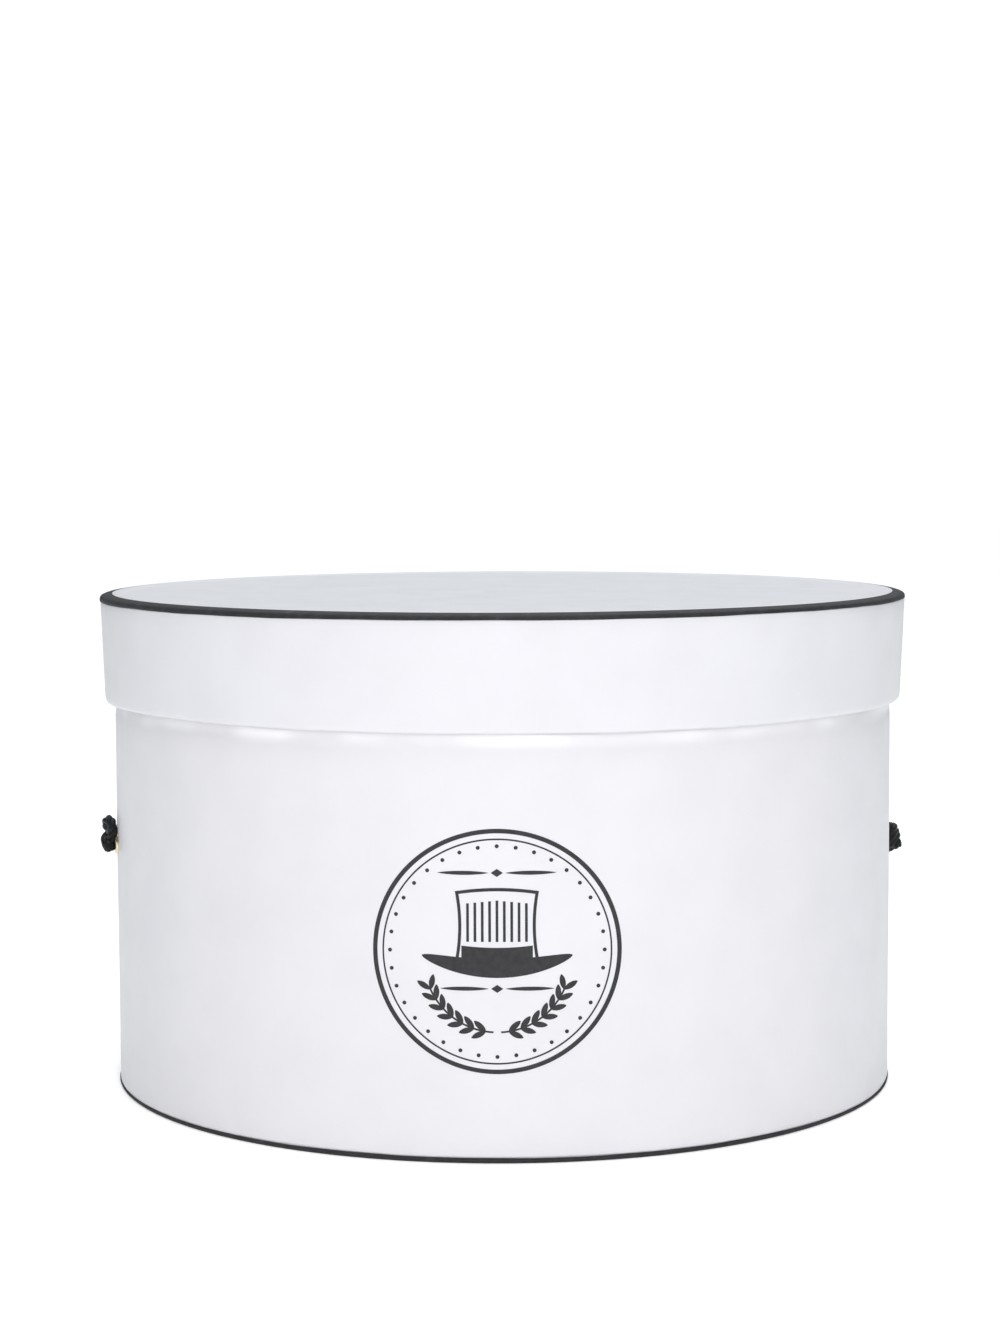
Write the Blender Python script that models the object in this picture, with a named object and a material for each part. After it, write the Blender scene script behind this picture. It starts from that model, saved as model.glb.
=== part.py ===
"""Round hat box of wrapped greyboard, with a lift-off lid and a carrying cord.

Metres, +Z up. The origin is on the surface that the box stands on, below its
centre, and the front of the box faces -Y.
"""

from math import cos, pi, radians, sin

import bmesh
import bpy
from mathutils import Matrix, Vector

# ---------------------------------------------------------------- dimensions
BOX_HEIGHT = 0.230          # standing surface to the top of the lid's binding
LID_RADIUS = 0.190          # outside of the lid's binding
BODY_RADIUS = 0.1835        # outside of the body's cover paper
LID_RIM_HEIGHT = 0.180      # lower edge of the closed lid
LID_FLARE = 0.0017          # the lid's wall is this much wider at the top

GAP = 0.0003                # between pieces that are glued or that touch
BOARD = 0.0016              # greyboard of the two hoops
DISC_BOARD = 0.0020         # greyboard of the lid and the base
PAPER = 0.0005              # cover and lining papers
TURN_IN = 0.015             # how far the cover papers turn in over a rim

NECK_DROP = 0.0008          # the body is drawn in by this much under the lid
SHOULDER_LOW = 0.1745       # where the body starts to draw in
SHOULDER_HIGH = 0.1768      # where the neck reaches its size

TAPE = 0.0004               # black binding tape
BASE_TAPE_UP = 0.0022       # how far the bottom tape comes up the wall
BASE_TAPE_UNDER = 0.0090    # how far it reaches under the box
LID_TAPE_DOWN = 0.0034      # how far the top tape comes down the wall
LID_TAPE_IN = 0.0060        # how far it reaches in over the top
LID_TAPE_PROUD = 0.0002     # the top tape stands this much over the top paper
LID_EDGE_FALL = 0.0012      # the rounded edge falls this far from the top
LID_EDGE_WIDTH = 0.0040     # and starts to fall this far in
BASE_EDGE = 0.0006          # bevel at the foot of the bottom tape

JOINT_TAPE = 0.0003         # gummed tape over a hoop's butt joint
JOINT_TAPE_SHORT = 0.002    # it ends this far from the board's edges
SKIVE_SPREAD = 1.05         # the thinned strip is this much wider than the tape
BUTT_WIDTH = 0.0006         # open slit between the ends of a hoop
CUT_THROUGH = 0.002         # how far a cutter passes the faces that it cuts
BODY_JOINT_TURN = radians(90)
LID_JOINT_TURN = radians(102)

EYELET_HEIGHT = 0.1145
EYELET_LEFT_TURN = radians(192.0)
EYELET_RIGHT_TURN = radians(2.0)
EYELET_FLANGE = 0.0057      # radius of the flange outside the wall
EYELET_BARREL = 0.0036      # outer radius of the barrel
EYELET_BORE = 0.0031        # radius of the hole that the cord runs through
EYELET_LIP = 0.0048         # radius of the barrel's clenched end
EYELET_PLATE = 0.0008       # thickness of the flange and of the washer
WASHER_SEAT = 0.0007        # from the lining to the flat washer, as the wall is curved

CORD_DIAMETER = 0.005
CORD_POINT_STEP = 2.6       # spacing of the tube's points, in diameters
KNOT_REACH = 0.0078         # how far a knot stands out from its eyelet
KNOT_WIDTH = 1.45           # a knot's width, as a share of its reach
# a knot's outline: half its depth, at a height over the middle of its eyelet
LEFT_KNOT = [
    (0.0000, -0.0037), (0.0026, -0.0032), (0.0038, -0.0010), (0.0037, 0.0020), (0.0026, 0.0047),
    (0.0037, 0.0070), (0.0036, 0.0100), (0.0024, 0.0122), (0.0000, 0.0131)]
RIGHT_KNOT = [
    (0.0000, -0.0117), (0.0022, -0.0105), (0.0039, -0.0080), (0.0035, -0.0050), (0.0032, -0.0030),
    (0.0036, 0.0000), (0.0024, 0.0023), (0.0000, 0.0028)]

SEGMENTS = 60               # facets round the box
FACET = 2 * pi / SEGMENTS
EYELET_SEGMENTS = 20

# ------------------------------------------------------- heights worked out
DISC_GAP = TAPE + GAP                         # base board over the tape
FLOOR_TOP = DISC_GAP + DISC_BOARD + GAP + PAPER
LID_COVER_TOP = BOX_HEIGHT - LID_TAPE_PROUD
LID_BOARD_TOP = LID_COVER_TOP - PAPER - GAP
LID_BOARD_BOTTOM = LID_BOARD_TOP - DISC_BOARD
LID_LINING_BOTTOM = LID_BOARD_BOTTOM - GAP - PAPER
BODY_RIM = LID_LINING_BOTTOM - GAP
LID_COVER_EDGE = BOX_HEIGHT - LID_TAPE_DOWN - GAP

# colours are linear RGB
WHITE_PAPER = (0.80, 0.80, 0.81)
LINING_PAPER = (0.78, 0.77, 0.73)
GREYBOARD = (0.30, 0.27, 0.22)
KRAFT = (0.42, 0.27, 0.14)
BLACK_TAPE = (0.025, 0.026, 0.030)
BRASS = (0.72, 0.52, 0.20)
BLACK_CORD = (0.010, 0.010, 0.012)


def material(name, colour, roughness, metallic=0.0):
    """A plain Principled material."""
    made = bpy.data.materials.new(name)
    made.use_nodes = True
    shader = made.node_tree.nodes["Principled BSDF"]
    shader.inputs["Base Color"].default_value = (*colour, 1.0)
    shader.inputs["Roughness"].default_value = roughness
    shader.inputs["Metallic"].default_value = metallic
    return made


def add_object(name, bm, parent, finish):
    """Turn a bmesh into a named object with its own material."""
    mesh = bpy.data.meshes.new(name)
    bm.to_mesh(mesh)
    bm.free()
    mesh.shade_smooth()
    mesh.set_sharp_from_angle(angle=radians(35))
    mesh.materials.append(material(name, *finish))
    made = bpy.data.objects.new(name, mesh)
    bpy.context.collection.objects.link(made)
    made.parent = parent
    return made


def turned(outline, steps=SEGMENTS, start=0.0, sweep=2 * pi):
    """Spin a closed outline of (radius, height) points about Z."""
    bm = bmesh.new()
    loop = [bm.verts.new((radius, 0.0, height)) for radius, height in outline]
    edges = [bm.edges.new((a, b)) for a, b in zip(loop, loop[1:] + loop[:1])]
    bmesh.ops.rotate(bm, verts=loop, cent=(0, 0, 0), matrix=Matrix.Rotation(start, 3, "Z"))
    full = sweep > 2 * pi - 1e-6
    caps = [] if full else [bm.faces.new(loop)]
    bmesh.ops.spin(
        bm, geom=loop + edges + caps, cent=(0, 0, 0), axis=(0, 0, 1),
        angle=sweep, steps=steps, use_merge=full, use_duplicate=False)
    bmesh.ops.remove_doubles(bm, verts=bm.verts, dist=1e-6)
    bmesh.ops.recalc_face_normals(bm, faces=bm.faces)
    return bm


def disc(radius, bottom, thickness):
    """A flat round sheet."""
    bm = bmesh.new()
    bmesh.ops.create_cone(
        bm, cap_ends=True, segments=SEGMENTS, radius1=radius, radius2=radius, depth=thickness)
    bmesh.ops.translate(bm, verts=bm.verts, vec=(0, 0, bottom + thickness / 2))
    return bm


def cut(target, bm, name):
    """Cut a shape out of an object with a Boolean."""
    mesh = bpy.data.meshes.new(name)
    bm.to_mesh(mesh)
    bm.free()
    cutter = bpy.data.objects.new(name, mesh)
    bpy.context.collection.objects.link(cutter)
    cutter.hide_render = True
    cutter.display_type = "WIRE"
    cutter.parent = target.parent
    modifier = target.modifiers.new(name, "BOOLEAN")
    modifier.operation = "DIFFERENCE"
    modifier.solver = "EXACT"
    modifier.object = cutter


# --------------------------------------------------------- shape of the walls
def body_wall(inset, bottom, top):
    """Points up the body's wall, inset from the outside of its cover."""
    points = [(BODY_RADIUS - inset, bottom)]
    if bottom < SHOULDER_LOW and top > SHOULDER_HIGH:
        points.append((BODY_RADIUS - inset, SHOULDER_LOW))
        points.append((BODY_RADIUS - inset - NECK_DROP, SHOULDER_HIGH))
    drop = NECK_DROP if top > SHOULDER_HIGH else 0.0
    points.append((BODY_RADIUS - inset - drop, top))
    return points


def body_layer(outer, thickness, bottom, top):
    """Outline of one layer of the body's wall."""
    return body_wall(outer, bottom, top) + body_wall(outer + thickness, bottom, top)[::-1]


def lid_wall(height):
    """Outside radius of the lid's cover paper at a height."""
    top_radius = LID_RADIUS - GAP
    share = (LID_COVER_EDGE - height) / (LID_COVER_EDGE - LID_RIM_HEIGHT)
    return top_radius - LID_FLARE * share


def lid_layer(outer, thickness, bottom, top):
    """Outline of one layer of the lid's wall."""
    return [
        (lid_wall(bottom) - outer, bottom), (lid_wall(top) - outer, top),
        (lid_wall(top) - outer - thickness, top), (lid_wall(bottom) - outer - thickness, bottom)]


BOARD_INSET = PAPER + GAP                     # outside of a hoop's board
INNER_INSET = BOARD_INSET + BOARD + GAP       # outside of the innermost paper
WALL = INNER_INSET + PAPER                    # whole thickness of a wall
BOARD_FOOT = DISC_GAP                         # bottom of the body's board
BOARD_HEAD = BODY_RIM - PAPER - GAP           # top of it
COVER_FOOT = BASE_TAPE_UP + GAP               # bottom of the body's cover
LINING_FOOT = DISC_GAP + DISC_BOARD + GAP


def board_hoop(name, outline, outer, parent, turn):
    """A board hoop with a butt joint, thinned outside where its tape lies."""
    hoop = add_object(name, turned(outline), parent, (GREYBOARD, 0.9))
    low = outer[0][1] - CUT_THROUGH
    high = outer[-1][1] + CUT_THROUGH
    middle = (low + high) / 2

    slit = bmesh.new()
    bmesh.ops.create_cube(slit, size=1.0)
    bmesh.ops.scale(slit, verts=slit.verts, vec=(6 * BOARD, BUTT_WIDTH, high - low))
    bmesh.ops.translate(slit, verts=slit.verts, vec=(outer[0][0], 0, middle))
    bmesh.ops.rotate(slit, verts=slit.verts, cent=(0, 0, 0), matrix=Matrix.Rotation(turn, 3, "Z"))
    cut(hoop, slit, name + "_slit")

    depth = JOINT_TAPE + GAP
    skive = [(radius - depth, height) for radius, height in outer]
    skive[0] = (skive[0][0], low)
    skive[-1] = (skive[-1][0], high)
    skive += [(LID_RADIUS + CUT_THROUGH, high), (LID_RADIUS + CUT_THROUGH, low)]
    spread = SKIVE_SPREAD * FACET
    cut(hoop, turned(skive, 2, turn - spread, 2 * spread), name + "_skive")
    return hoop


def joint_tape(name, outer, parent, turn):
    """Gummed tape over a butt joint, flush with the outside of the board."""
    low = outer[0][1] + JOINT_TAPE_SHORT
    high = outer[-1][1] - JOINT_TAPE_SHORT
    face = [(outer[0][0], low), *outer[1:-1], (outer[-1][0], high)]
    outline = face + [(radius - JOINT_TAPE, height) for radius, height in face[::-1]]
    add_object(name, turned(outline, 2, turn - FACET, 2 * FACET), parent, (KRAFT, 0.8))


def eyelet_hole(target, turn, name):
    """A round hole through one layer of the wall."""
    hole = bmesh.new()
    bmesh.ops.create_cone(
        hole, cap_ends=True, segments=EYELET_SEGMENTS,
        radius1=EYELET_BARREL + GAP, radius2=EYELET_BARREL + GAP, depth=4 * WALL)
    stand_on_wall(hole, turn, BODY_RADIUS - WALL / 2)
    cut(target, hole, name)


def stand_on_wall(bm, turn, distance):
    """Carry a shape's +Z to the outward direction, at the eyelet's place."""
    tip = Matrix.Rotation(pi / 2, 4, "Y")
    around = Matrix.Rotation(turn, 4, "Z")
    move = Matrix.Translation((distance, 0, EYELET_HEIGHT))
    bmesh.ops.transform(bm, matrix=around @ move @ tip, verts=bm.verts)


# ------------------------------------------------------------------ the body
def build_body(body):
    """The hoop, the base and the papers and tape that cover them."""
    board = board_hoop(
        "body_board", body_layer(BOARD_INSET, BOARD, BOARD_FOOT, BOARD_HEAD),
        body_wall(BOARD_INSET, BOARD_FOOT, BOARD_HEAD), body, BODY_JOINT_TURN)
    joint_tape(
        "body_joint_tape", body_wall(BOARD_INSET, BOARD_FOOT, BOARD_HEAD), body, BODY_JOINT_TURN)

    neck = BODY_RADIUS - NECK_DROP
    turn_in_foot = BODY_RIM - TURN_IN
    outline = body_wall(0.0, COVER_FOOT, BODY_RIM)
    outline += [
        (neck - WALL, BODY_RIM), (neck - WALL, turn_in_foot),
        (neck - INNER_INSET, turn_in_foot), (neck - INNER_INSET, BODY_RIM - PAPER)]
    outline += body_wall(PAPER, COVER_FOOT, BODY_RIM - PAPER)[::-1]
    cover = add_object("body_cover", turned(outline), body, (WHITE_PAPER, 0.35))

    lining = add_object(
        "body_lining", turned(body_layer(INNER_INSET, PAPER, LINING_FOOT, turn_in_foot - GAP)),
        body, (LINING_PAPER, 0.7))

    for layer in (board, cover, lining):
        eyelet_hole(layer, EYELET_LEFT_TURN, layer.name + "_hole_left")
        eyelet_hole(layer, EYELET_RIGHT_TURN, layer.name + "_hole_right")

    inside = BODY_RADIUS - BOARD_INSET - BOARD - GAP
    add_object("base_board", disc(inside, DISC_GAP, DISC_BOARD), body, (GREYBOARD, 0.9))
    add_object(
        "base_lining", disc(BODY_RADIUS - WALL - GAP, LINING_FOOT, PAPER), body,
        (LINING_PAPER, 0.7))
    tape_edge = BODY_RADIUS - BASE_TAPE_UNDER
    add_object("base_cover", disc(tape_edge - GAP, 0.0, TAPE), body, (WHITE_PAPER, 0.5))

    outside = BODY_RADIUS + GAP
    leg = BODY_RADIUS - BOARD_INSET + GAP
    outline = [
        (tape_edge, 0.0), (outside - BASE_EDGE, 0.0), (outside, BASE_EDGE), (outside, BASE_TAPE_UP),
        (leg, BASE_TAPE_UP), (leg, TAPE), (tape_edge, TAPE)]
    add_object("base_binding", turned(outline), body, (BLACK_TAPE, 0.75))


def build_eyelet(side, turn, body):
    """A brass eyelet clenched over a washer inside the wall."""
    inner_face = -WALL - WASHER_SEAT
    washer_back = inner_face - EYELET_PLATE
    lip_front = washer_back - GAP
    lip_back = lip_front - EYELET_PLATE
    front = GAP + EYELET_PLATE
    edge = EYELET_PLATE / 2
    outline = [
        (EYELET_BORE, lip_back), (EYELET_LIP, lip_back), (EYELET_LIP, lip_front),
        (EYELET_BARREL, lip_front), (EYELET_BARREL, GAP), (EYELET_FLANGE, GAP),
        (EYELET_FLANGE, front - edge), (EYELET_FLANGE - edge, front),
        (EYELET_BORE + edge, front), (EYELET_BORE, front - edge)]
    eyelet = turned(outline, EYELET_SEGMENTS)
    stand_on_wall(eyelet, turn, BODY_RADIUS)
    add_object("eyelet_" + side, eyelet, body, (BRASS, 0.3, 1.0))

    hole = EYELET_BARREL + GAP
    outline = [
        (hole, washer_back), (EYELET_FLANGE, washer_back), (EYELET_FLANGE, inner_face),
        (hole, inner_face)]
    washer = turned(outline, EYELET_SEGMENTS)
    stand_on_wall(washer, turn, BODY_RADIUS)
    add_object("eyelet_washer_" + side, washer, body, (BRASS, 0.35, 1.0))


# ------------------------------------------------------------------ the cord
def smooth_route(points, spacing):
    """Points at an even spacing on a smooth curve through the route's own."""
    ends = [2 * points[0] - points[1], *points, 2 * points[-1] - points[-2]]
    fine = []
    for before, start, end, after in zip(ends, ends[1:], ends[2:], ends[3:]):
        for step in range(40):
            t = step / 40
            fine.append(0.5 * (
                2 * start + (end - before) * t
                + (2 * before - 5 * start + 4 * end - after) * t ** 2
                + (3 * start - before - 3 * end + after) * t ** 3))
    fine.append(points[-1])
    length = sum((b - a).length for a, b in zip(fine, fine[1:]))
    count = round(length / spacing)
    even = [fine[0]]
    walked = 0.0
    for a, b in zip(fine, fine[1:]):
        step = (b - a).length
        while len(even) < count and walked + step >= length / count * len(even):
            even.append(a.lerp(b, (length / count * len(even) - walked) / step))
        walked += step
    even.append(fine[-1])
    return even


def cord_drop(turn):
    """Where the cord runs from an eyelet's mouth down to the floor inside."""
    middle = FLOOR_TOP + GAP + CORD_DIAMETER / 2
    profile = [
        (BODY_RADIUS + GAP + EYELET_PLATE, EYELET_HEIGHT), (0.176, EYELET_HEIGHT),
        (0.168, 0.1142), (0.1595, 0.1105), (0.1545, 0.102), (0.1530, 0.090), (0.1530, 0.068),
        (0.1530, 0.046), (0.1515, 0.030), (0.1455, 0.0165), (0.134, 0.0088), (0.120, middle)]
    return [Vector((cos(turn) * r, sin(turn) * r, height)) for r, height in profile]


def build_cord(body):
    """The twisted cord, lying loose on the floor of the box."""
    middle = FLOOR_TOP + GAP + CORD_DIAMETER / 2
    across_floor = [
        (-0.098, -0.022), (-0.068, -0.030), (-0.047, -0.056), (-0.038, -0.090), (-0.012, -0.117),
        (0.022, -0.108), (0.037, -0.076), (0.026, -0.040), (0.004, -0.006), (-0.020, 0.028),
        (-0.030, 0.066), (-0.010, 0.098), (0.026, 0.104), (0.050, 0.078), (0.058, 0.044),
        (0.074, 0.015), (0.098, 0.004)]
    route = cord_drop(EYELET_LEFT_TURN)
    route += [Vector((x, y, middle)) for x, y in across_floor]
    route += cord_drop(EYELET_RIGHT_TURN)[::-1]

    curve = bpy.data.curves.new("carry_cord", "CURVE")
    curve.dimensions = "3D"
    curve.bevel_depth = CORD_DIAMETER / 2
    curve.bevel_resolution = 2
    curve.use_fill_caps = True
    points = smooth_route(route, CORD_POINT_STEP * CORD_DIAMETER)
    spline = curve.splines.new("POLY")
    spline.points.add(len(points) - 1)
    for point, place in zip(spline.points, points):
        point.co = (*place, 1.0)
    curve.materials.append(material("carry_cord", BLACK_CORD, 0.9))
    cord = bpy.data.objects.new("carry_cord", curve)
    bpy.context.collection.objects.link(cord)
    cord.parent = body


def build_knot(side, turn, profile, body):
    """A stopper knot: lobes one above the other, outside its eyelet."""
    bm = turned(profile, 14)
    bmesh.ops.scale(bm, verts=bm.verts, vec=(1.0, KNOT_WIDTH, 1.0))
    out = BODY_RADIUS + EYELET_PLATE + 2 * GAP + KNOT_REACH / 2
    bmesh.ops.translate(bm, verts=bm.verts, vec=(out, 0, EYELET_HEIGHT))
    bmesh.ops.rotate(bm, verts=bm.verts, cent=(0, 0, 0), matrix=Matrix.Rotation(turn, 3, "Z"))
    add_object("cord_knot_" + side, bm, body, (BLACK_CORD, 0.9))


# ------------------------------------------------------------------- the lid
def build_lid(lid):
    """The lid's disc and hoop, with their papers and the top binding."""
    edge = lid_wall(LID_BOARD_BOTTOM) - INNER_INSET
    add_object("lid_board", disc(edge, LID_BOARD_BOTTOM, DISC_BOARD), lid, (GREYBOARD, 0.9))
    add_object("lid_lining", disc(edge, LID_LINING_BOTTOM, PAPER), lid, (LINING_PAPER, 0.7))
    tape_edge = LID_RADIUS - LID_TAPE_IN
    add_object(
        "lid_cover", disc(tape_edge - GAP, LID_COVER_TOP - PAPER, PAPER), lid,
        (WHITE_PAPER, 0.35))

    board_low = LID_RIM_HEIGHT + PAPER + GAP
    outer = [
        (lid_wall(board_low) - BOARD_INSET, board_low),
        (lid_wall(LID_BOARD_TOP) - BOARD_INSET, LID_BOARD_TOP)]
    board_hoop(
        "lid_hoop_board", lid_layer(BOARD_INSET, BOARD, board_low, LID_BOARD_TOP), outer,
        lid, LID_JOINT_TURN)
    joint_tape("lid_joint_tape", outer, lid, LID_JOINT_TURN)

    low = LID_RIM_HEIGHT
    turn_in_head = low + TURN_IN
    outline = [
        (lid_wall(low), low), (lid_wall(LID_COVER_EDGE), LID_COVER_EDGE),
        (lid_wall(LID_COVER_EDGE) - PAPER, LID_COVER_EDGE),
        (lid_wall(low + PAPER) - PAPER, low + PAPER),
        (lid_wall(low + PAPER) - INNER_INSET, low + PAPER),
        (lid_wall(turn_in_head) - INNER_INSET, turn_in_head),
        (lid_wall(turn_in_head) - WALL, turn_in_head), (lid_wall(low) - WALL, low)]
    add_object("lid_hoop_cover", turned(outline), lid, (WHITE_PAPER, 0.35))
    add_object(
        "lid_hoop_lining",
        turned(lid_layer(INNER_INSET, PAPER, turn_in_head + GAP, LID_LINING_BOTTOM - GAP)),
        lid, (LINING_PAPER, 0.7))

    under = LID_BOARD_TOP + GAP
    leg = lid_wall(LID_BOARD_TOP) - BOARD_INSET + GAP
    foot = BOX_HEIGHT - LID_TAPE_DOWN
    outline = [(tape_edge, under), (tape_edge, BOX_HEIGHT)]
    for turn in (radians(0), radians(35), radians(65), radians(90)):
        outline.append((
            LID_RADIUS - LID_EDGE_WIDTH * (1 - sin(turn)),
            BOX_HEIGHT - LID_EDGE_FALL * (1 - cos(turn))))
    outline += [(LID_RADIUS, foot), (leg, foot), (leg, under)]
    add_object("lid_binding", turned(outline), lid, (BLACK_TAPE, 0.75))


def main():
    for old in list(bpy.data.objects):
        bpy.data.objects.remove(old, do_unlink=True)

    body = bpy.data.objects.new("box_body", None)
    lid = bpy.data.objects.new("lid", None)
    for empty in (body, lid):
        bpy.context.collection.objects.link(empty)

    build_body(body)
    for side, turn in (("left", EYELET_LEFT_TURN), ("right", EYELET_RIGHT_TURN)):
        build_eyelet(side, turn, body)
    build_cord(body)
    build_knot("left", EYELET_LEFT_TURN, LEFT_KNOT, body)
    build_knot("right", EYELET_RIGHT_TURN, RIGHT_KNOT, body)
    build_lid(lid)


main()
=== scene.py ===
import math
import random

import bmesh
import bpy
from mathutils import Matrix, Vector


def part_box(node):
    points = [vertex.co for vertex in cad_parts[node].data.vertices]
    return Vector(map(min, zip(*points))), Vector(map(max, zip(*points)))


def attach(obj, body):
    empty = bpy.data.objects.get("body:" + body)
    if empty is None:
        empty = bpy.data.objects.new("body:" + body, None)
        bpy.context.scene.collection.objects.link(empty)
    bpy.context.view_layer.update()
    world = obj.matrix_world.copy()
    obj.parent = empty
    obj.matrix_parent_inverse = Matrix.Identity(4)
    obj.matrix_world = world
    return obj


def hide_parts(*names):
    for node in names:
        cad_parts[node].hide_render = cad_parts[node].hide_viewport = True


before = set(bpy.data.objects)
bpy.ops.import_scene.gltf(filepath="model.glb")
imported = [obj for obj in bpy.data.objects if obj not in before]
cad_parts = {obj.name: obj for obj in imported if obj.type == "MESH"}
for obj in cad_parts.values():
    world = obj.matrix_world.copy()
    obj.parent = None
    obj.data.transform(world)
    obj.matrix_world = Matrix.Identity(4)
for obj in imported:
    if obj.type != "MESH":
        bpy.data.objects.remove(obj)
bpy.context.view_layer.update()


# ---- Body hoop ----
# The wall's core: grey millboard bent round a drum, with its two ends butted at the back.
# It is a stiff, hairy, recycled board, bare of any coating, and the papers are glued over it.
def new_finish(name, roughness):
    """A new finish, with the node tree and the shader that its looks are set on."""
    finish = bpy.data.materials.new(name)
    finish.use_nodes = True
    tree = finish.node_tree
    shader = tree.nodes["Principled BSDF"]
    shader.inputs["Roughness"].default_value = roughness
    return finish, tree, shader


def mottle(tree, size, detail=3.0, pull=(1.0, 1.0, 1.0), reads="Object"):
    """Cloudy patches about size metres across, drawn out along each axis by pull."""
    coordinates = tree.nodes.new("ShaderNodeTexCoord")
    mapping = tree.nodes.new("ShaderNodeMapping")
    mapping.inputs["Scale"].default_value = [1.0 / (size * along) for along in pull]
    noise = tree.nodes.new("ShaderNodeTexNoise")
    noise.inputs["Scale"].default_value = 1.0
    noise.inputs["Detail"].default_value = detail
    tree.links.new(coordinates.outputs[reads], mapping.inputs["Vector"])
    tree.links.new(mapping.outputs["Vector"], noise.inputs["Vector"])
    return noise.outputs["Fac"]


def ramp(tree, amount, stops, socket):
    """Runs a socket through the stops (place, shade) as the amount goes from low to high."""
    node = tree.nodes.new("ShaderNodeValToRGB")
    while len(node.color_ramp.elements) < len(stops):
        node.color_ramp.elements.new(0.5)
    for element, (place, shade) in zip(node.color_ramp.elements, stops):
        element.position = place
        element.color = (*shade, 1.0)
    tree.links.new(amount, node.inputs["Fac"])
    tree.links.new(node.outputs["Color"], socket)


def grey(value):
    return (value, value, value)


def relief(tree, shader, height, depth, strength=1.0):
    """Adds a layer of fine height, depth metres deep, over the layers already there."""
    bump = tree.nodes.new("ShaderNodeBump")
    bump.inputs["Distance"].default_value = depth
    bump.inputs["Strength"].default_value = strength
    tree.links.new(height, bump.inputs["Height"])
    for link in list(shader.inputs["Normal"].links):
        tree.links.new(link.from_socket, bump.inputs["Normal"])
    tree.links.new(bump.outputs["Normal"], shader.inputs["Normal"])


def refinish(node, finish):
    """Gives its finish to a CAD piece that keeps its own shape."""
    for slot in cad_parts[node].material_slots:
        slot.material = finish


greyboard, tree, shader = new_finish("greyboard", 0.93)
ramp(tree, mottle(tree, 0.005, 8.0), [(0.30, (0.22, 0.205, 0.18)), (0.70, (0.36, 0.34, 0.30))],
     shader.inputs["Base Color"])
relief(tree, shader, mottle(tree, 0.0009, 5.0), 0.00015)
refinish("body_board", greyboard)


# ---- Tape over the hoop's butt joint ----
# A strip of gummed brown kraft paper, wetted and rubbed down over the joint before covering.
# Kraft is long-fibred, so it shows fine streaks along the strip's length.
gummed_kraft, tree, shader = new_finish("gummed kraft", 0.62)
ramp(tree, mottle(tree, 0.0016, 6.0, pull=(1.0, 1.0, 9.0)),
     [(0.30, (0.27, 0.16, 0.075)), (0.72, (0.43, 0.285, 0.15))], shader.inputs["Base Color"])
relief(tree, shader, mottle(tree, 0.0005, 4.0, pull=(1.0, 1.0, 6.0)), 0.00006)
refinish("body_joint_tape", gummed_kraft)


# ---- Base disc ----
# The bottom is a disc of the same millboard, pushed into the hoop's lower end and glued. Both
# its faces are papered over, so no more is done to it.
refinish("base_board", greyboard)


# ---- Cover paper of the wall ----
# White satin-coated paper wrapped round the hoop, lapped over itself at the back, and turned in
# over the rim with its raw edge inside. The hoop is stepped in under the lid, so the paper
# makes a soft shoulder there. Bone-folding by hand leaves the wall very slightly uneven.
FINE_TURNS = 240
LAP_RISE = 0.00028
EYELET_TURNS = {"left": 192.0, "right": 2.0}
EYELET_BORE = 0.0038
SHOULDER_FOOT, SHOULDER_TOP = 0.1700, 0.1785
SHOULDER_MIDDLE, SHOULDER_REACH, SHOULDER_SWAY = 0.1756, 0.0056, 0.00045
HEM_FOOT, HEM_TOP, HEM_RADIUS = 0.0020, 0.0036, 0.1829
HEM_DROP = 0.0012
WALL_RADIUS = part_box("body_cover")[1].x
eyelet_low, eyelet_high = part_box("eyelet_left")
EYELET_HEIGHT = (eyelet_low.z + eyelet_high.z) / 2


def turn_of(place):
    """How far round the box's upright axis a point stands, in radians."""
    return math.atan2(place.y, place.x)


def radius_of(place):
    """How far out from the box's upright axis a point stands."""
    return math.hypot(place.x, place.y)


def wander(turn, *waves):
    """The unevenness of hand work round the box: a sum of waves of (height, count, start)."""
    return sum(height * math.sin(count * turn + start) for height, count, start in waves)


def fine_steps(outline, longest):
    """The same outline, in metres from one in millimetres, with no step over longest."""
    points = [Vector((r, z)) / 1000 for r, z in outline]
    steps = [points[0]]
    for start, end in zip(points, points[1:]):
        count = max(1, math.ceil((end - start).length / longest))
        steps += [start.lerp(end, step / count) for step in range(1, count + 1)]
    return steps


def spin_round(outline, closed=True, longest=0.008, turns=FINE_TURNS):
    """Spins an outline of (radius, height) in millimetres once round the box's upright axis."""
    bm = bmesh.new()
    across = bm.verts.layers.float.new("across")
    steps = fine_steps(outline + outline[:1] if closed else outline, longest)
    if closed:
        steps.pop()
    verts = [bm.verts.new((r, 0.0, z)) for r, z in steps]
    walked = 0.0
    for before, vert in zip(verts, verts[1:]):
        walked += (vert.co - before.co).length
        vert[across] = walked
    ahead = verts[1:] + verts[:1] if closed else verts[1:]
    edges = [bm.edges.new(pair) for pair in zip(verts, ahead)]
    bmesh.ops.spin(
        bm, geom=verts + edges, cent=(0, 0, 0), axis=(0, 0, 1), dvec=(0, 0, 0),
        angle=math.tau, steps=turns, use_merge=True, use_duplicate=False)
    bmesh.ops.remove_doubles(bm, verts=bm.verts[:], dist=1e-6)
    bmesh.ops.recalc_face_normals(bm, faces=bm.faces[:])
    return bm


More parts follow.
